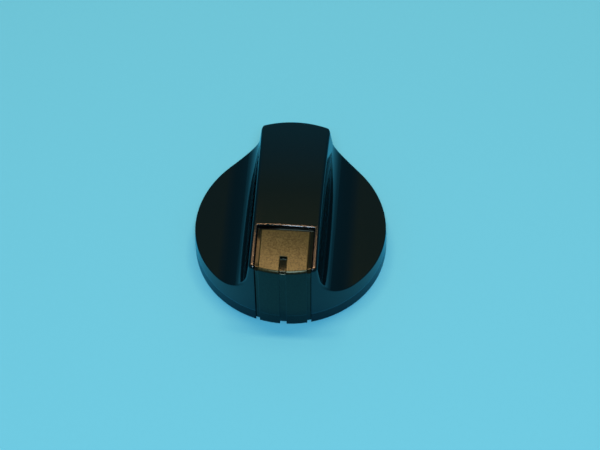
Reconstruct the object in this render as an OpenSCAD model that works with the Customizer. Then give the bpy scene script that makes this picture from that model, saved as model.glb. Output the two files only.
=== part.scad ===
// Appliance control knob: a round drafted skirt with a raised grip bar across it, a finger scoop on
// each side of the bar, and a pointer insert let into the bar's front end.
// Z runs along the shaft axis with the foot of the skirt at Z = 0. The pointer looks towards -Y.

/* [Skirt] */
// Diameter of the skirt at its foot, measured over the foot band
foot_d = 45; // [40:0.5:52]
// Draft of the skirt wall, in degrees
skirt_draft = 4.2; // [2:0.2:7]
// Height of the recessed band round the foot
band_h = 3.4; // [2:0.2:4.4]
// Depth of the foot band behind the skirt wall
band_recess = 0.2; // [0.1:0.05:0.4]
// Chamfer on the bottom edge of the foot band
foot_chamfer = 0.3; // [0.1:0.05:0.5]

/* [Grip bar] */
// Height of the crown above the foot
crown_h = 21; // [19:0.5:25]
// Radius of the shallow dome over the whole knob
dome_r = 135; // [90:5:260]
// Width of the bar at its crown, measured to the sharp corners
bar_w = 15; // [14:0.5:18]
// Draft of the bar's side walls, in degrees
bar_draft = 8.5; // [6:0.5:12]
// Angle by which each side wall closes in towards the pointer, in degrees
bar_taper = 0.7; // [0:0.1:1.5]
// Rounding of the bar's long top edges
bar_edge_r = 0.8; // [0.5:0.1:1]
// Rounding of the bar's end edges, where the dome meets the skirt
end_edge_r = 0.8; // [0.6:0.1:1.2]

/* [Finger scoops] */
// Height of the scoop floor at the rim, at right angles to the bar
scoop_rim_z = 6.85; // [5.5:0.05:9]
// Slope of the scoop floor down to the rim, in degrees
scoop_slope = 7.4; // [3:0.2:10]
// Radius of the cove between the bar and the scoop floor
cove_r = 8.5; // [6:0.1:9]

/* [Shell] */
// Wall thickness of the moulding
wall = 2; // [1.6:0.1:2.4]
// Thickness of the ribs between the hub and the skirt
rib_t = 1.4; // [1:0.1:2]
// Height of the ribs' free edges above the foot
rib_clear = 1.8; // [1:0.1:2.4]

/* [Pointer insert] */
// Width of the channel for the insert
channel_w = 12.6; // [11:0.1:12.8]
// Distance of the channel's back wall from the shaft axis
channel_back = 9.7; // [8:0.1:11]
// Thickness of the insert over its raised pad
insert_t = 1.9; // [1.6:0.1:2.4]
// Width of the step on each side of the pad
step_w = 0.85; // [0.7:0.05:1.4]
// Width of the step behind the pad
step_back_w = 0.9; // [0.6:0.05:1.2]
// Depth of the steps and of the pointer slot
step_h = 1; // [0.5:0.05:1.2]
// Width of the pointer slot
slot_w = 1.5; // [1:0.05:2]
// Distance of the pointer slot's inner end from the shaft axis
slot_start = 17.3; // [15.5:0.1:18]
// Rounding of the channel's rim on the crown
rim_r = 0.3; // [0.15:0.05:0.4]
// Rounding of the pad's top edges
pad_edge_r = 0.3; // [0.15:0.05:0.4]
// Rounding of the pointer slot's top edges
slot_edge_r = 0.2; // [0.1:0.05:0.3]
// Diameter of the insert's two fixing pegs
peg_d = 2.4; // [1.8:0.1:2.8]
// Distance of the inner peg from the shaft axis
peg_first = 12.2; // [11.6:0.1:12.6]
// Distance between the two pegs
peg_pitch = 4; // [3.4:0.1:4.4]
// Length by which a peg stands out behind the channel floor
peg_tail = 0.8; // [0.4:0.1:1.2]
// Clearance round the insert and its pegs
insert_clear = 0.06; // [0.03:0.01:0.12]

/* [Hub and socket] */
// Outside diameter of the hub
hub_d = 11.4; // [10.6:0.2:13]
// Height of the hub's mouth above the foot
hub_clear = 1.2; // [0.6:0.1:2]
// Diameter of the shaft that the socket fits
shaft_d = 6; // [5:0.1:6.4]
// Thickness of the shaft across its flat
shaft_flat = 4.5; // [4.3:0.1:4.8]
// Clearance between the shaft and the socket, on the radius
shaft_clear = 0.1; // [0.06:0.01:0.12]
// Clearance between the shaft and the socket's round mouth, on the radius
mouth_clear = 0.3; // [0.28:0.01:0.4]
// Depth of the round part of the socket
round_depth = 4; // [3:0.25:5]
// Depth of the part of the socket that has the flat
flat_depth = 9; // [8:0.25:9.5]

/* [Shaft spring] */
// Thickness of the spring leaf
leaf_t = 0.35; // [0.25:0.05:0.45]
// Width of the spring leaf
leaf_w = 3.2; // [2.6:0.1:3.4]
// Length of the bowed part of the leaf
leaf_bow = 6; // [5:0.25:6.5]
// Length of the flat tab at each end of the leaf
leaf_tab = 0.8; // [0.5:0.1:1]
// Depth of the spring's pocket behind the flat of the socket
pocket_depth = 0.95; // [0.9:0.05:1.1]
// Distance by which the relaxed leaf stands out in front of the flat
leaf_reach = 0.25; // [0.1:0.05:0.4]
// Clearance beside and beyond the leaf in its pocket
leaf_clear = 0.15; // [0.1:0.05:0.25]

/* [Hidden] */
$fn = 192;

// Length by which cutting shapes run past the surface they cut.
over = 1;
// Size of the half spaces that the cutting shapes are built from.
reach = 60;
// Depth by which the arc of a rounding crosses the faces that it joins, so that it never only touches.
bite = 0.003;

foot_r = foot_d / 2;
skirt_r = foot_r + band_recess;
bar_side = bar_w / 2;
SIDES = [0, 1];

channel_side = channel_w / 2;
insert_side = channel_side - insert_clear;
insert_back = channel_back + insert_clear;
pad_side = insert_side - step_w;
pad_back = insert_back + step_back_w;
backing = wall;
peg_r = peg_d / 2;
PEGS = [peg_first, peg_first + peg_pitch];

socket_r = shaft_d / 2 + shaft_clear;
mouth_r = shaft_d / 2 + mouth_clear;
flat_y = shaft_flat - shaft_d / 2 + shaft_clear;
flat_z = hub_clear + round_depth;
socket_top = flat_z + flat_depth;
pocket_y = flat_y + pocket_depth;
pocket_top = flat_z + leaf_bow + 2 * leaf_tab + leaf_clear;
RIB_ANGLES = [45, 135, 225, 315];

// Turns of a wall that faces left, right and the pointer.
LEFT = 0;
RIGHT = 180;
FRONT = 90;

// Radius of the skirt wall at a height, set in by a thickness measured square to the wall.
function skirt_at(z, inset) = skirt_r - z * tan(skirt_draft) - inset / cos(skirt_draft);

// Height of the dome at a distance from the shaft axis.
function dome_z(r) = crown_h - dome_r + sqrt(dome_r * dome_r - r * r);

// Unit vector at an angle in the plane.
function dir(a) = [cos(a), sin(a)];

// Centre of the rounding between the skirt wall and the dome, for the form set in by a thickness.
function corner_r(inset) = max(end_edge_r - inset, end_edge_r / 4);
function corner_gap(inset) = inset + corner_r(inset);
function corner_z(inset, z) =
    crown_h - dome_r + sqrt(pow(dome_r - corner_gap(inset), 2) - pow(skirt_at(z, corner_gap(inset)), 2));

// The corner's height follows from the skirt's radius there, so the value is settled by a few passes.
function settle(inset, z, passes) =
    passes == 0 ? z : settle(inset, corner_z(inset, z), passes - 1);

function corner_centre(inset) =
    let (z = settle(inset, crown_h, 6))
    [skirt_at(z, corner_gap(inset)), z];

// Half of the knob's turned profile: skirt, rounded shoulder and dome, set in by a thickness.
module turned_profile(inset, bottom) {
    centre = corner_centre(inset);
    round_r = corner_r(inset);
    dome_centre = [0, crown_h - dome_r];
    shoulder = centre + round_r * dir(skirt_draft);
    outward = (centre - dome_centre) / norm(centre - dome_centre);
    intersection() {
        translate(dome_centre)
            circle(r = dome_r - inset, $fn = 256);
        polygon([
            [0, bottom],
            [skirt_at(bottom, inset), bottom],
            shoulder,
            centre,
            centre + (round_r + over) * outward,
            [0, crown_h + over]
        ]);
    }
    translate(centre)
        circle(r = round_r + bite, $fn = 64);
}

// The knob as a turned body, before the finger scoops are cut.
module turned_form(inset = 0, bottom = 0) {
    rotate_extrude()
        turned_profile(inset, bottom);
}

// Cross-section of what a finger scoop takes away: the bar's wall, the cove and the sloped floor.
module scoop_profile(inset) {
    wall_dir = dir(90 + bar_draft);
    wall_normal = dir(bar_draft);
    floor_normal = dir(90 - scoop_slope);
    floor_dir = dir(-scoop_slope);
    // The cove's centre lies one cove radius from the wall and from the floor.
    wall_d = [bar_side, crown_h] * wall_normal + cove_r;
    floor_d = [foot_r, scoop_rim_z] * floor_normal + cove_r;
    det = wall_normal.x * floor_normal.y - wall_normal.y * floor_normal.x;
    centre = [
        (wall_d * floor_normal.y - floor_d * wall_normal.y) / det,
        (floor_d * wall_normal.x - wall_d * floor_normal.x) / det
    ];
    cut_r = cove_r + inset;
    on_wall = centre - cut_r * wall_normal;
    on_floor = centre - cut_r * floor_normal;
    polygon([
        on_wall + reach / 2 * wall_dir,
        on_wall,
        centre,
        on_floor,
        on_floor + reach / 2 * floor_dir,
        [reach, reach]
    ]);
    translate(centre)
        circle(r = cut_r + bite, $fn = 128);
}

// Puts its children on the right side of the bar and mirrors them to the left side.
module on_both_sides() {
    for (side = SIDES)
        mirror([side, 0, 0])
            rotate([0, 0, -bar_taper])
                children();
}

module scoops(inset = 0) {
    on_both_sides()
        rotate([90, 0, 0])
            linear_extrude(2 * reach, center = true)
                scoop_profile(inset);
}

// Cutting shape that rounds the edge between the dome and a plane wall. The edge is an arc of a circle,
// and so is the rounding. The wall faces -X, leans in by its draft and is turned about the shaft axis.
// The material lies inside the wall with side = 1 and outside it with side = -1. The arc starts clear of
// the rounded shoulder, which itself stands out from the dome by the bite.
module crown_edge(from_axis, turn, edge_r, side, draft = 0) {
    wall_gap = from_axis * cos(draft) + dome_r * sin(draft);
    sink = edge_r - 2 * bite;
    centre_gap = wall_gap - side * sink;
    ring_r = sqrt(pow(dome_r - sink, 2) - centre_gap * centre_gap);
    outward = [ring_r, centre_gap] / (dome_r - sink);
    arc = 2 * asin((foot_r + over) / dome_r);
    translate([0, 0, crown_h - dome_r])
        rotate([0, draft - 90, turn])
            rotate([0, 0, -arc / 2])
                rotate_extrude(angle = arc, $fn = 256)
                    difference() {
                        polygon([
                            [ring_r, centre_gap],
                            [ring_r, wall_gap + side * edge_r],
                            [ring_r + 2 * edge_r, wall_gap + side * edge_r],
                            [ring_r, centre_gap] + 2 * edge_r * outward
                        ]);
                        translate([ring_r, centre_gap])
                            circle(r = edge_r, $fn = 64);
                    }
}

// Rounds the rim of an opening in the crown: both sides and the back, mitred where they meet.
module rim_rounding(half_w, from, edge_r) {
    mitre = 1.5 * edge_r;
    for (side = SIDES)
        mirror([side, 0, 0])
            intersection() {
                crown_edge(half_w, RIGHT, edge_r, -1);
                linear_extrude(crown_h + over)
                    polygon([
                        [half_w - mitre, -from - mitre],
                        [half_w + mitre, -from + mitre],
                        [half_w + mitre, -reach],
                        [half_w - mitre, -reach]
                    ]);
            }
    intersection() {
        crown_edge(from, FRONT, edge_r, 1);
        linear_extrude(crown_h + over)
            polygon([
                [half_w - mitre, -from - mitre],
                [half_w + mitre, -from + mitre],
                [-half_w - mitre, -from + mitre],
                [-half_w + mitre, -from - mitre]
            ]);
    }
}

// The outer form of the knob, or the same form set in by a wall thickness.
module knob_form(inset = 0, bottom = 0) {
    difference() {
        turned_form(inset, bottom);
        scoops(inset);
    }
}

// The shallow band round the foot, and the chamfer below it.
module foot_cut() {
    rotate_extrude()
        polygon([
            [foot_r - foot_chamfer, -over],
            [foot_r - foot_chamfer, 0],
            [foot_r, foot_chamfer],
            [skirt_at(band_h, band_recess), band_h],
            [skirt_at(band_h, 0) + over, band_h + over],
            [reach, band_h + over],
            [reach, -over]
        ]);
}

// A slab along the front of the bar, from a distance before the axis to past the skirt.
module front_slab(half_w, from) {
    translate([-half_w, -reach, -over])
        cube([2 * half_w, reach - from, crown_h + 2 * over]);
}

// The layer between two depths under the outer form, within a slab at the front of the bar.
module front_layer(half_w, from, outer, inner) {
    difference() {
        intersection() {
            front_slab(half_w, from);
            turned_form(outer);
        }
        turned_form(inner, -2 * over);
    }
}

// The floor of the channel for the insert, one wall thick and with a border as wide all round.
module channel_floor() {
    front_layer(channel_side + backing, channel_back - backing, 0, insert_t + backing);
}

// The hollow under the moulded shell.
module hollow() {
    difference() {
        knob_form(wall, -over);
        channel_floor();
    }
}

// The insert's fixing pegs, from inside its thickness down to a tail below the channel floor's backing.
module pegs(r, tail) {
    for (y = PEGS)
        translate([0, -y, dome_z(y) - insert_t - backing - tail])
            cylinder(r = r, h = tail + backing + (insert_t - step_h) / 2, $fn = 48);
}

// Cross-section of the shaft socket above its round mouth.
module flat_socket() {
    intersection() {
        circle(r = socket_r, $fn = 96);
        translate([-socket_r, -socket_r])
            square([2 * socket_r, socket_r + flat_y]);
    }
}

module socket() {
    translate([0, 0, hub_clear - over])
        cylinder(r = mouth_r, h = round_depth + over, $fn = 96);
    translate([0, 0, flat_z - over])
        linear_extrude(flat_depth + over)
            flat_socket();
    // Pocket for the spring, open to the socket's flat and to its round mouth.
    translate([-leaf_w / 2 - leaf_clear, 0, flat_z - over])
        cube([leaf_w + 2 * leaf_clear, pocket_y, pocket_top - flat_z + over]);
}

module ribs() {
    for (a = RIB_ANGLES)
        rotate([0, 0, a])
            translate([0, -rib_t / 2, rib_clear])
                cube([foot_r, rib_t, crown_h]);
}

module knob_body() {
    color([0.05, 0.06, 0.07])
        difference() {
            knob_form();
            hollow();
            foot_cut();
            front_layer(channel_side, channel_back, -over, insert_t);
            rim_rounding(channel_side, channel_back, rim_r);
            pegs(peg_r + insert_clear, wall);
            on_both_sides()
                crown_edge(bar_side, RIGHT, bar_edge_r, 1, bar_draft);
        }
}

// The hub and its ribs fill their places in the hollow, up against the shell.
module shaft_hub() {
    color([0.16, 0.17, 0.18])
        difference() {
            intersection() {
                hollow();
                union() {
                    translate([0, 0, hub_clear])
                        cylinder(d = hub_d, h = crown_h, $fn = 96);
                    ribs();
                }
            }
            socket();
        }
}

// The raised pad with its rounded edges and the pointer slot. The back edge is rounded after the side
// edges that it meets.
module pad() {
    difference() {
        difference() {
            front_layer(pad_side, pad_back, 0, insert_t);
            crown_edge(pad_side, LEFT, pad_edge_r, 1);
            crown_edge(pad_side, RIGHT, pad_edge_r, 1);
        }
        crown_edge(pad_back, FRONT, pad_edge_r, -1);
        front_layer(slot_w / 2, slot_start, -over, step_h);
        rim_rounding(slot_w / 2, slot_start, slot_edge_r);
    }
}

module pointer_insert() {
    color([0.42, 0.35, 0.22])
        difference() {
            union() {
                front_layer(insert_side, insert_back, step_h, insert_t);
                pad();
                pegs(peg_r, peg_tail);
            }
            foot_cut();
        }
}

// The leaf lies in its pocket with both tabs on the back wall and bows out towards the shaft.
module leaf_profile() {
    rise = pocket_depth - leaf_t + leaf_reach;
    half = leaf_bow / 2;
    bow_r = (half * half + rise * rise) / (2 * rise);
    intersection() {
        translate([rise - bow_r, 0])
            difference() {
                circle(r = bow_r + leaf_t, $fn = 256);
                circle(r = bow_r, $fn = 256);
            }
        translate([0, -half])
            square([rise + leaf_t, leaf_bow]);
    }
    for (end = [-1, 1])
        translate([0, end * (half + leaf_tab / 2) - leaf_tab / 2])
            square([leaf_t, leaf_tab]);
}

module shaft_spring() {
    color("silver")
        translate([0, pocket_y, flat_z + leaf_tab + leaf_bow / 2])
            rotate([90, 0, 90])
                mirror([1, 0, 0])
                    linear_extrude(leaf_w, center = true)
                        leaf_profile();
}

knob_body();
shaft_hub();
pointer_insert();
shaft_spring();
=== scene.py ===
"""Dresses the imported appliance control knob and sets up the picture: materials, floor, lamps, camera.

Everything is in metres in the row's frame: Z along the shaft axis with the foot at 0, pointer to -Y.
Two shapes are finished here: the upright corners of the bar are rounded, and the grooves in the
insert's front are made shallower. Each is a copy of its CAD node, cut or filled, that stands for it.
"""

import math

import bmesh
import bpy
from mathutils import Euler, Matrix, Vector


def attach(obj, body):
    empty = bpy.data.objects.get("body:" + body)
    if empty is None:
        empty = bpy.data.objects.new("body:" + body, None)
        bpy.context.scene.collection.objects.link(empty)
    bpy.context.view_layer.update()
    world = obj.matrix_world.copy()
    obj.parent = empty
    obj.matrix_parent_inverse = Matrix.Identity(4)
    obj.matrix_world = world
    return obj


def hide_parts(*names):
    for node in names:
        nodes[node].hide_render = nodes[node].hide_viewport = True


MM = 0.001
# Signs of the two sides of the bar along X, and of its two ends along Y.
LEFT = -1
RIGHT = 1
FRONT = -1
BACK = 1

# Sizes of the knob that the finishes and the two finished shapes follow.
FOOT_R = 22.5 * MM
BAND_TOP = 3.4 * MM
SKIRT_R = 22.7 * MM
SKIRT_DRAFT = math.radians(4.2)
CROWN = 21 * MM
DOME_R = 135 * MM
BAR_SIDE = 7.5 * MM
BAR_DRAFT = math.radians(8.5)
BAR_TAPER = math.radians(0.7)
COVE_R = 8.5 * MM
SCOOP_RIM = 6.85 * MM
SCOOP_SLOPE = math.radians(7.4)
INSERT_SIDE = 6.24 * MM
PAD_SIDE = 5.39 * MM
SLOT_SIDE = 0.75 * MM
STEP_DEPTH = 1.0 * MM

# Roundings of the upright corners of the bar: the heights between which each grows, and its radius.
CORNERS = {
    BACK: (9.0 * MM, 14.5 * MM, 2.0 * MM),
    FRONT: (8.6 * MM, 12.0 * MM, 0.9 * MM),
}
# How many steps a cut has in height, and how many round its arc.
CORNER_HEIGHTS = 48
CORNER_TURNS = 14
# The share of its radius that a rounding starts with, and the height at which its cut ends.
CORNER_START = 0.05
CORNER_TOP = CROWN + 0.5 * MM
# How far a cut is moved out, so that it leaves no step, and how far past the surface it reaches.
CORNER_NUDGE = 0.01 * MM
CORNER_REACH = 3 * MM

# Depths of the front grooves, and the height at which the notches in the foot end.
SIDE_GROOVE = 0.4 * MM
MIDDLE_GROOVE = 0.55 * MM
NOTCH_TOP = 0.9 * MM
# The fillers reach into the insert beside and behind them, and stay clear of its outer sides.
FILLER_BESIDE = 0.05 * MM
FILLER_BEHIND = 0.25 * MM
FILLER_CLEAR = 0.02 * MM
# A filler's top lies this far under the step, and its front edge falls off by this much more.
FILLER_SUNK = 0.02 * MM
FILLER_FALL = 0.12 * MM
# The heights of a filler are spread up to this far under the crown; its last ring is its top.
FILLER_UNDER_CROWN = 4 * MM
# How many steps a filler has in height, and how many across.
FILLER_HEIGHTS = 24
FILLER_COLUMNS = 5

# How close vertices are welded, and the cosine above which new faces are shaded as one.
WELD = 1e-7
SMOOTH_COSINE = 0.8
# A triangle whose squared area is under a quarter of this counts as a line.
NO_AREA = 1e-30
# The face attribute that carries a face's number in the original through the cuts.
FACE_NUMBER = "source"

# The photograph's camera, fitted to the knob's outline, and how near it sees.
LENS_MM = 81.0
SENSOR_MM = 36.0
CLIP_START = 0.01
ELEVATION = math.radians(54.72)
TURN = 0.0878
ROLL = math.radians(-1.01)
DISTANCE = 319.88 * MM
AIM_RIGHT = 2.131 * MM
AIM_UP = 4.225 * MM

# Fine radii that break the sharp edges, and how finely they are sampled.
BODY_EDGE = 0.45 * MM
INSERT_EDGE = 0.2 * MM
EDGE_SAMPLES = 8

# The colour sockets of a mix node.
MIX_A = 6
MIX_B = 7
MIX_RESULT = 2
# The stretch in which most values of a noise lie.
MIDDLE = (0.3, 0.7)

# Colours, linear.
PAPER = (0.156, 0.571, 0.723)
# Painted reflection: the paper as the gloss reflects it, with less red, and painted darker further out.
PAPER_IN_GLOSS = (0.050, 0.460, 0.720)
FAR_PAPER_IN_GLOSS = (0.020, 0.230, 0.370)
GLOSS_BLACK = (0.0008, 0.0012, 0.0018)
DUST_GREY = (0.020, 0.022, 0.022)
BAND_BLACK = (0.004, 0.006, 0.008)
STEP_BLACK = (0.003, 0.003, 0.003)
# Painted reflection: the pad's warm brown below stands for the warm light its black plastic reflects,
# painted into its colour; the mottle between dark and light is its own grain.
PAD_PAINTED_REFLECTION = (0.045, 0.034, 0.011)
PAD_DARK = (0.006, 0.005, 0.0015)
PAD_LIGHT = (0.042, 0.035, 0.010)
PAD_GLEAM_DARK = (0.40, 0.43, 0.31)
PAD_GLEAM_LIGHT = (0.74, 0.79, 0.55)
HUB_DARK = (0.014, 0.015, 0.016)
HUB_GREY = (0.020, 0.021, 0.022)
STEEL_DARK = (0.42, 0.43, 0.45)
STEEL_LIGHT = (0.50, 0.51, 0.52)

# The room's colours by the sine of the elevation: dusky blue low down, olive overhead.
ROOM = (
    (0.0, (0.012, 0.125, 0.200)),
    (0.52, (0.020, 0.145, 0.215)),
    (0.67, (0.050, 0.170, 0.220)),
    (0.79, (0.100, 0.215, 0.190)),
    (0.88, (0.160, 0.255, 0.170)),
    (1.0, (0.180, 0.260, 0.160)),
)
# What the room adds straight behind the knob, and the sines between which it sets in.
BACK_GLOW = (0.020, 0.115, 0.160)
BACK_RANGE = (0.60, 0.82)

# The lamps: name, place, width along X, depth, power in watts and colour.
WARM = (1.0, 0.56, 0.30)
COOL = (0.55, 0.78, 1.0)
LAMPS = (
    ("ceiling_tube", (0.0, 0.18, 0.80), 0.60, 0.05, 3.6, WARM),
    ("ceiling_left", (-0.20, 0.27, 0.75), 0.16, 0.16, 0.4, WARM),
    ("ceiling_right", (0.20, 0.27, 0.75), 0.16, 0.16, 0.4, WARM),
    ("front_softbox", (0.045, -0.47, 0.80), 0.25, 0.25, 6.5, COOL),
)

# The sheet of paper: half its side, how far it lies under the foot, and the distances from the
# knob's axis between which the reflection painted for it grows darker.
FLOOR_HALF = 1.5
FLOOR_GAP = 0.02 * MM
FLOOR_DIMS = (0.035, 0.075)


class Nodes:
    """Builds a node tree. Most methods add a node and give its output, for the next one to take."""

    def __init__(self, tree, coordinates):
        self.tree = tree
        self.tree.nodes.clear()
        self.position = self.add("TexCoord").outputs[coordinates]

    def add(self, kind):
        """Adds a node of that kind."""
        return self.tree.nodes.new("ShaderNode" + kind)

    def link(self, source, target):
        """Joins one node's output to another's input."""
        self.tree.links.new(source, target)

    def feed(self, target, value):
        """Sets an input to a number or a colour, or links it to another node's output."""
        if isinstance(value, bpy.types.NodeSocket):
            self.link(value, target)
        elif isinstance(value, tuple) and len(value) == 3 and len(target.default_value) == 4:
            target.default_value = (*value, 1)
        else:
            target.default_value = value

    def math(self, operation, a, b):
        """Two numbers added, subtracted or multiplied."""
        node = self.add("Math")
        node.operation = operation
        self.feed(node.inputs[0], a)
        self.feed(node.inputs[1], b)
        return node.outputs[0]

    def distance(self, centre):
        """Distance of the surface from a point."""
        node = self.add("VectorMath")
        node.operation = "DISTANCE"
        self.feed(node.inputs[0], self.position)
        self.feed(node.inputs[1], centre)
        return node.outputs["Value"]

    def along(self, axis):
        """The coordinate along an axis: of the place on a surface, or of the direction in the world."""
        node = self.add("SeparateXYZ")
        self.link(self.position, node.inputs[0])
        return node.outputs[axis]

    def seen_directly(self):
        """1 for what the camera sees directly, and 0 for what lights or is reflected."""
        return self.add("LightPath").outputs["Is Camera Ray"]

    def noise(self, size, detail, roughness=0.5, stretch=(1, 1, 1)):
        """Noise from 0 to 1 whose features are about that size in metres."""
        mapping = self.add("Mapping")
        mapping.inputs["Scale"].default_value = stretch
        self.link(self.position, mapping.inputs["Vector"])
        node = self.add("TexNoise")
        node.inputs["Scale"].default_value = 1 / size
        node.inputs["Detail"].default_value = detail
        node.inputs["Roughness"].default_value = roughness
        self.link(mapping.outputs[0], node.inputs["Vector"])
        return node.outputs["Fac"]

    def ramp(self, value, span=(0.0, 1.0), ends=(0.0, 1.0)):
        """Goes from one end to the other while the value crosses the span, and is held outside it."""
        node = self.add("MapRange")
        self.feed(node.inputs["Value"], value)
        for name, number in zip(("From Min", "From Max", "To Min", "To Max"), (*span, *ends)):
            node.inputs[name].default_value = number
        return node.outputs["Result"]

    def gradient(self, value, stops):
        """The colour at a value, between stops of place and colour from 0 to 1."""
        node = self.add("ValToRGB")
        self.link(value, node.inputs["Fac"])
        lowest, highest = node.color_ramp.elements
        lowest.color = (*stops[0][1], 1)
        highest.color = (*stops[-1][1], 1)
        for place, colour in stops[1:-1]:
            node.color_ramp.elements.new(place).color = (*colour, 1)
        return node.outputs["Color"]

    def mix(self, factor, a, b, blend="MIX"):
        """Colour a, with b mixed in or added by the factor."""
        node = self.add("Mix")
        node.data_type = "RGBA"
        node.blend_type = blend
        self.feed(node.inputs["Factor"], factor)
        self.feed(node.inputs[MIX_A], a)
        self.feed(node.inputs[MIX_B], b)
        return node.outputs[MIX_RESULT]

    def rounded(self, radius):
        """The normal of the face with its sharp edges broken by a fine radius."""
        node = self.add("Bevel")
        node.samples = EDGE_SAMPLES
        node.inputs["Radius"].default_value = radius
        return node.outputs["Normal"]

    def bump(self, relief, depth, below=None):
        """The normal of a relief of that depth, on top of another normal if one is given."""
        node = self.add("Bump")
        node.inputs["Distance"].default_value = depth
        node.inputs["Strength"].default_value = 1.0
        self.feed(node.inputs["Height"], relief)
        if below is not None:
            self.link(below, node.inputs["Normal"])
        return node.outputs["Normal"]


class Finish(Nodes):
    """Builds the node tree of one material."""

    def __init__(self, name):
        self.material = bpy.data.materials.new(name)
        self.material.use_nodes = True
        super().__init__(self.material.node_tree, "Object")
        self.shader = self.add("BsdfPrincipled")
        self.link(self.shader.outputs["BSDF"], self.add("OutputMaterial").inputs["Surface"])

    def give(self, name, value):
        """Feeds the shader's input of that name."""
        self.feed(self.shader.inputs[name], value)


def gloss_plastic():
    """Polished black moulding, with a satin, faintly mottled band round the foot."""
    n = Finish("gloss_black_plastic")
    blur = 0.05 * MM
    band = n.ramp(n.along("Z"), span=(BAND_TOP - blur, BAND_TOP + blur), ends=(1.0, 0.0))
    dust = n.ramp(n.noise(size=0.25 * MM, detail=2), span=(0.62, 0.80))
    smear = n.noise(size=7 * MM, detail=4, roughness=0.6)
    mottle = n.noise(size=0.7 * MM, detail=4, roughness=0.65)
    base = n.mix(n.math("MULTIPLY", dust, 0.1), GLOSS_BLACK, DUST_GREY)
    base = n.mix(n.math("MULTIPLY", band, mottle), base, BAND_BLACK)
    gloss = n.ramp(smear, MIDDLE, ends=(0.06, 0.10))
    satin = n.ramp(mottle, MIDDLE, ends=(0.16, 0.28))
    roughness = n.math(
        "ADD",
        n.math("MULTIPLY", gloss, n.math("SUBTRACT", 1.0, band)),
        n.math("MULTIPLY", satin, band),
    )
    n.give("Base Color", base)
    n.give("Roughness", roughness)
    n.give("IOR", 1.52)
    n.give("Specular IOR Level", n.ramp(band, ends=(0.5, 0.26)))
    wave = n.bump(smear, depth=0.02 * MM, below=n.rounded(BODY_EDGE))
    n.give("Normal", n.bump(n.math("MULTIPLY", mottle, band), depth=0.01 * MM, below=wave))
    return n.material


def insert_plastic():
    """Pad top in fine matt black with a painted reflection: its warm brown colour stands for the warm
    light it reflects; the steps, the slot and the sides in gloss black.
    """
    n = Finish("pointer_pad_painted_reflection")
    from_centre = n.distance((0.0, 0.0, CROWN - DOME_R))
    top = n.ramp(from_centre, span=(DOME_R - 0.5 * STEP_DEPTH, DOME_R - 0.1 * STEP_DEPTH))
    grain = n.noise(size=0.42 * MM, detail=4, roughness=0.75)
    speck = n.ramp(grain, span=(0.35, 0.65))
    cloud = n.noise(size=2.5 * MM, detail=3)
    # Painted reflection: the pad's own grain, coloured with the warm light it reflects.
    grain_and_painted_reflection = n.mix(speck, PAD_DARK, PAD_LIGHT)
    grain_and_painted_reflection = n.mix(n.math("MULTIPLY", cloud, 0.3), grain_and_painted_reflection, PAD_PAINTED_REFLECTION)
    n.give("Base Color", n.mix(top, STEP_BLACK, grain_and_painted_reflection))
    n.give("Roughness", n.ramp(top, ends=(0.05, 0.25)))
    n.give("Specular Tint", n.mix(speck, PAD_GLEAM_DARK, PAD_GLEAM_LIGHT))
    pitted = n.math("MULTIPLY", grain, top)
    n.give("Normal", n.bump(pitted, depth=0.008 * MM, below=n.rounded(INSERT_EDGE)))
    return n.material


def hub_plastic():
    """Plain dark moulding inside the knob, with faint flow marks."""
    n = Finish("hub_plastic")
    flow = n.noise(size=1.5 * MM, detail=4, roughness=0.6, stretch=(1, 1, 0.3))
    n.give("Base Color", n.mix(flow, HUB_DARK, HUB_GREY))
    n.give("Roughness", n.ramp(flow, MIDDLE, ends=(0.38, 0.5)))
    n.give("Normal", n.bump(flow, depth=0.02 * MM))
    return n.material


def spring_steel():
    """Rolled spring steel, with its grain along the leaf."""
    n = Finish("spring_steel")
    rolled = n.noise(size=0.12 * MM, detail=3, roughness=0.6, stretch=(1, 1, 0.06))
    n.give("Base Color", n.mix(rolled, STEEL_DARK, STEEL_LIGHT))
    n.give("Metallic", 1.0)
    n.give("Roughness", n.ramp(rolled, MIDDLE, ends=(0.25, 0.42)))
    n.give("Normal", n.bump(rolled, depth=0.005 * MM))
    return n.material


def paper():
    """Pale paper. What the gloss reflects of it is a painted reflection: less red, and darker further
    out.
    """
    n = Finish("paper")
    fibre = n.noise(size=1.2 * MM, detail=4, roughness=0.6)
    # Painted reflection: rays that are not the camera's see the paper less red, and darker further out.
    far = n.ramp(n.distance((0.0, 0.0, 0.0)), FLOOR_DIMS)
    in_gloss = n.mix(far, PAPER_IN_GLOSS, FAR_PAPER_IN_GLOSS)
    colour = n.mix(n.seen_directly(), in_gloss, PAPER)
    n.give("Base Color", n.mix(n.math("MULTIPLY", fibre, 0.03), colour, (0, 0, 0)))
    n.give("Roughness", 0.9)
    n.give("Specular IOR Level", 0.1)
    return n.material


def paint(material, *things):
    """Gives each object that one material all over."""
    for thing in things:
        thing.data.materials.clear()
        thing.data.materials.append(material)


def skirt_radius(z):
    """Radius of the drafted skirt at a height."""
    return SKIRT_R - z * math.tan(SKIRT_DRAFT)


def cove_centre():
    """Centre of the cove, one cove radius from the bar's wall and from the scoop's floor, as (x, z)."""
    wall = BAR_SIDE * math.cos(BAR_DRAFT) + CROWN * math.sin(BAR_DRAFT) + COVE_R
    floor = FOOT_R * math.sin(SCOOP_SLOPE) + SCOOP_RIM * math.cos(SCOOP_SLOPE) + COVE_R
    crossing = math.cos(BAR_DRAFT + SCOOP_SLOPE)
    return (
        (wall * math.cos(SCOOP_SLOPE) - floor * math.sin(BAR_DRAFT)) / crossing,
        (floor * math.cos(BAR_DRAFT) - wall * math.sin(SCOOP_SLOPE)) / crossing,
    )


def scoop_side(z):
    """Distance of the bar's wall, or of the cove below it, from the middle plane at a height."""
    centre_x, centre_z = cove_centre()
    if z > centre_z - COVE_R * math.sin(BAR_DRAFT):
        return BAR_SIDE + (CROWN - z) * math.tan(BAR_DRAFT)
    return centre_x - math.sqrt(COVE_R**2 - (z - centre_z) ** 2)


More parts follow.
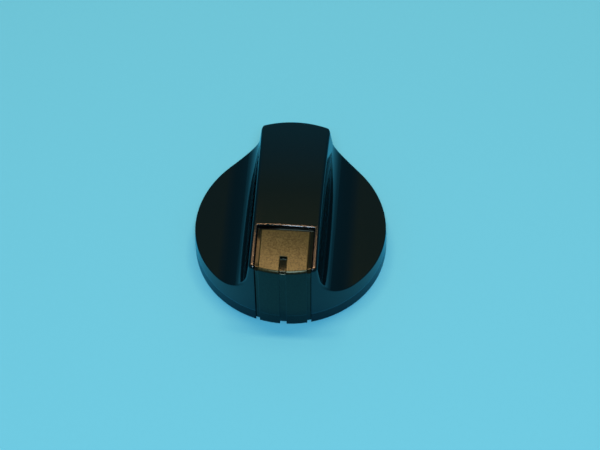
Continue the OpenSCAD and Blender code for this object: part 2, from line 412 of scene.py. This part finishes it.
def lofted(rings):
    """Closed triangle mesh through rings of equal length."""
    count = len(rings[0])
    bm = bmesh.new()
    points = [[bm.verts.new(place) for place in ring] for ring in rings]
    bm.faces.new(points[0])
    bm.faces.new(points[-1])
    for lower, upper in zip(points, points[1:]):
        for k in range(count):
            after = (k + 1) % count
            bm.faces.new((lower[k], lower[after], upper[after]))
            bm.faces.new((lower[k], upper[after], upper[k]))
    bmesh.ops.triangulate(bm, faces=bm.faces)
    bmesh.ops.recalc_face_normals(bm, faces=bm.faces)
    return bm


def corner_outline(z, radius):
    """What a rounding takes off the right back corner at one height: its arc, then points outside."""
    centre_x = scoop_side(z) - radius
    centre_y = math.sqrt((skirt_radius(z) - radius) ** 2 - centre_x**2)
    last = math.atan2(centre_y, centre_x)
    centre_x += CORNER_NUDGE * math.cos(last / 2)
    centre_y += CORNER_NUDGE * math.sin(last / 2)
    angles = [last * k / CORNER_TURNS for k in range(CORNER_TURNS + 1)]
    arc = [(centre_x + radius * math.cos(a), centre_y + radius * math.sin(a)) for a in angles]
    wall_x, wall_y = arc[0]
    skirt_x, skirt_y = arc[-1]
    outside_x = wall_x + CORNER_REACH
    outside_y = skirt_y + CORNER_REACH * math.sin(last)
    off_skirt = (skirt_x + CORNER_REACH * math.cos(last), outside_y)
    return arc + [off_skirt, (outside_x, outside_y), (outside_x, wall_y)]


def corner_cutter(side, end):
    """Closed mesh of what a rounding takes off one upright corner of the bar."""
    low, full, radius = CORNERS[end]
    turn = Euler((0, 0, -BAR_TAPER)).to_matrix()
    rings = []
    for i in range(CORNER_HEIGHTS + 1):
        z = low + (CORNER_TOP - low) * i / CORNER_HEIGHTS
        share = max(min((z - low) / (full - low), 1.0), CORNER_START)
        ring = []
        for x, y in corner_outline(z, radius * share):
            place = turn @ Vector((x, end * y, z))
            ring.append(Vector((side * place.x, place.y, place.z)))
        rings.append(ring)
    return lofted(rings)


def groove_filler(low_x, high_x, depth):
    """Closed mesh that makes a groove of the front shallower, from above its foot notch to the step."""
    xs = [low_x + (high_x - low_x) * k / FILLER_COLUMNS for k in range(FILLER_COLUMNS + 1)]
    top_r = DOME_R - STEP_DEPTH - FILLER_SUNK
    rows = (
        (depth, xs, FILLER_FALL),
        (STEP_DEPTH + FILLER_BEHIND, xs[::-1], 0.0),
    )
    rings = []
    for i in range(FILLER_HEIGHTS + 1):
        level = NOTCH_TOP + (CROWN - FILLER_UNDER_CROWN - NOTCH_TOP) * i / FILLER_HEIGHTS
        ring = []
        for inset, row, fall in rows:
            for x in row:
                z = level
                y = -math.sqrt((skirt_radius(level) - inset) ** 2 - x * x)
                if i == FILLER_HEIGHTS:
                    z = CROWN - DOME_R + math.sqrt(top_r * top_r - x * x - y * y) - fall
                ring.append(Vector((x, y, z)))
        rings.append(ring)
    return lofted(rings)


def groove_fillers():
    """The fillers of the left, the middle and the right groove."""
    inner = PAD_SIDE - FILLER_BESIDE
    outer = INSERT_SIDE - FILLER_CLEAR
    middle = SLOT_SIDE + FILLER_BESIDE
    return [
        groove_filler(-outer, -inner, SIDE_GROOVE),
        groove_filler(-middle, middle, MIDDLE_GROOVE),
        groove_filler(inner, outer, SIDE_GROOVE),
    ]


def numbered_copy(original):
    """A welded copy of a mesh, whose faces carry their number in the original, counted from 1."""
    mesh = original.copy()
    numbers = mesh.attributes.new(FACE_NUMBER, "INT", "FACE")
    numbers.data.foreach_set("value", range(1, len(mesh.polygons) + 1))
    bm = bmesh.new()
    bm.from_mesh(mesh)
    bmesh.ops.remove_doubles(bm, verts=bm.verts, dist=WELD)
    bm.to_mesh(mesh)
    bm.free()
    return mesh


def after_tools(piece, operation, tools):
    """The mesh of a piece once each tool has been taken from it or joined to it."""
    helpers = []
    for bm in tools:
        data = bpy.data.meshes.new("tool")
        bm.to_mesh(data)
        bm.free()
        helper = bpy.data.objects.new("tool", data)
        bpy.context.scene.collection.objects.link(helper)
        helpers.append(helper)
        step = piece.modifiers.new("tool", "BOOLEAN")
        step.operation = operation
        step.solver = "EXACT"
        step.object = helper
    evaluated = piece.evaluated_get(bpy.context.evaluated_depsgraph_get())
    mesh = bpy.data.meshes.new_from_object(evaluated)
    piece.modifiers.clear()
    for helper in helpers:
        bpy.data.objects.remove(helper)
    return mesh


def triangle_weights(p, a, b, c):
    """Barycentric weights of a point in a triangle."""
    u = b - a
    v = c - a
    w = p - a
    det = u.dot(u) * v.dot(v) - u.dot(v) ** 2
    if det < NO_AREA:
        return (1.0, 0.0, 0.0)
    s = (v.dot(v) * w.dot(u) - u.dot(v) * w.dot(v)) / det
    t = (u.dot(u) * w.dot(v) - u.dot(v) * w.dot(u)) / det
    return (1 - s - t, s, t)


def old_normal(original, number, place):
    """The original's normal at a place on its face of that number."""
    face = original.polygons[number - 1]
    corners = [original.vertices[k].co for k in face.vertices]
    weights = triangle_weights(place, *corners)
    parts = [w * original.corner_normals[k].vector for w, k in zip(weights, face.loop_indices)]
    return sum(parts, Vector()).normalized()


def shade(mesh, original):
    """Gives faces that come from the original its normals, and the new faces smooth ones of their own."""
    mesh.shade_smooth()
    numbers = [0] * len(mesh.polygons)
    mesh.attributes[FACE_NUMBER].data.foreach_get("value", numbers)
    new_around = {}
    for face, number in zip(mesh.polygons, numbers):
        if number == 0:
            for v in face.vertices:
                new_around.setdefault(v, []).append(face.normal * face.area)
    normals = []
    for face, number in zip(mesh.polygons, numbers):
        for v in face.vertices:
            if number == 0:
                near = [n for n in new_around[v] if n.normalized().dot(face.normal) > SMOOTH_COSINE]
                normals.append(sum(near, Vector()).normalized())
            else:
                normals.append(old_normal(original, number, mesh.vertices[v].co))
    mesh.normals_split_custom_set(normals)


def reshaped(node, name, operation, tools):
    """A piece that stands for a CAD node, worked by tools, its other faces and their shading kept."""
    piece = bpy.data.objects.new(name, numbered_copy(node.data))
    bpy.context.scene.collection.objects.link(piece)
    mesh = after_tools(piece, operation, tools)
    if len(mesh.polygons) < len(piece.data.polygons):
        raise ValueError(f"{name} lost faces")
    shade(mesh, node.data)
    piece.data = mesh
    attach(piece, "root")
    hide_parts(node.name)
    return piece


def pale_floor():
    """A wide sheet of pale paper under the knob."""
    mesh = bpy.data.meshes.new("floor")
    corners = [(-1, -1), (1, -1), (1, 1), (-1, 1)]
    mesh.from_pydata([(x * FLOOR_HALF, y * FLOOR_HALF, 0) for x, y in corners], [], [(0, 1, 2, 3)])
    floor = bpy.data.objects.new("floor", mesh)
    floor.location.z = -FLOOR_GAP
    bpy.context.scene.collection.objects.link(floor)
    paint(paper(), floor)


def area_lamp(name, place, width, depth, power, colour):
    """A rectangular lamp that looks at the knob, its width along X."""
    data = bpy.data.lights.new(name, "AREA")
    data.shape = "RECTANGLE"
    data.size = width
    data.size_y = depth
    data.energy = power
    data.color = colour
    lamp = bpy.data.objects.new(name, data)
    lamp.location = place
    lamp.rotation_euler = (-Vector(place)).to_track_quat("-Z", "Y").to_euler()
    bpy.context.scene.collection.objects.link(lamp)


def room():
    """A dim room for the gloss, with a lighter wall behind the knob. The camera sees paper blue."""
    world = bpy.data.worlds.new("room")
    bpy.context.scene.world = world
    world.use_nodes = True
    n = Nodes(world.node_tree, "Generated")
    walls = n.gradient(n.along("Z"), ROOM)
    behind = n.ramp(n.along("Y"), BACK_RANGE)
    lit_walls = n.mix(behind, walls, BACK_GLOW, "ADD")
    background = n.add("Background")
    n.feed(background.inputs["Strength"], 1.0)
    n.feed(background.inputs["Color"], n.mix(n.seen_directly(), lit_walls, PAPER))
    n.link(background.outputs[0], n.add("OutputWorld").inputs["Surface"])


def photo_camera():
    """The camera at the photograph's angle, aimed past the origin by AIM_RIGHT and AIM_UP."""
    turn = Euler((0, 0, TURN)).to_matrix()
    forward = turn @ Vector((0, math.cos(ELEVATION), -math.sin(ELEVATION)))
    level = turn @ Vector((1, 0, 0))
    right = math.cos(ROLL) * level + math.sin(ROLL) * level.cross(forward)
    up = right.cross(forward)
    data = bpy.data.cameras.new("photo_camera")
    data.sensor_fit = "HORIZONTAL"
    data.sensor_width = SENSOR_MM
    data.lens = LENS_MM
    data.clip_start = CLIP_START
    camera = bpy.data.objects.new("photo_camera", data)
    camera.matrix_world = Matrix((right, up, -forward)).transposed().to_4x4()
    camera.location = AIM_RIGHT * right + AIM_UP * up - DISTANCE * forward
    bpy.context.scene.collection.objects.link(camera)
    bpy.context.scene.camera = camera


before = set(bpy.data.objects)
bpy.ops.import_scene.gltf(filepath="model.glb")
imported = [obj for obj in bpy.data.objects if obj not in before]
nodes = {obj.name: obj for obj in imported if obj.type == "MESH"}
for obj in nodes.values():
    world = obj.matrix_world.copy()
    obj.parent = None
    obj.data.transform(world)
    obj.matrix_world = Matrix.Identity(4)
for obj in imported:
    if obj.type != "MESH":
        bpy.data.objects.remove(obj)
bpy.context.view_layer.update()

cutters = [corner_cutter(side, end) for side in (LEFT, RIGHT) for end in (BACK, FRONT)]
body = reshaped(nodes["knob_body"], "knob_body_rounded", "DIFFERENCE", cutters)
insert = reshaped(nodes["pointer_insert"], "pointer_insert_grooved", "UNION", groove_fillers())

paint(gloss_plastic(), body, nodes["knob_body"])
paint(insert_plastic(), insert, nodes["pointer_insert"])
paint(hub_plastic(), nodes["shaft_hub"])
paint(spring_steel(), nodes["shaft_spring"])

pale_floor()
room()
for lamp in LAMPS:
    area_lamp(*lamp)
photo_camera()

bpy.context.scene.view_settings.view_transform = "Standard"
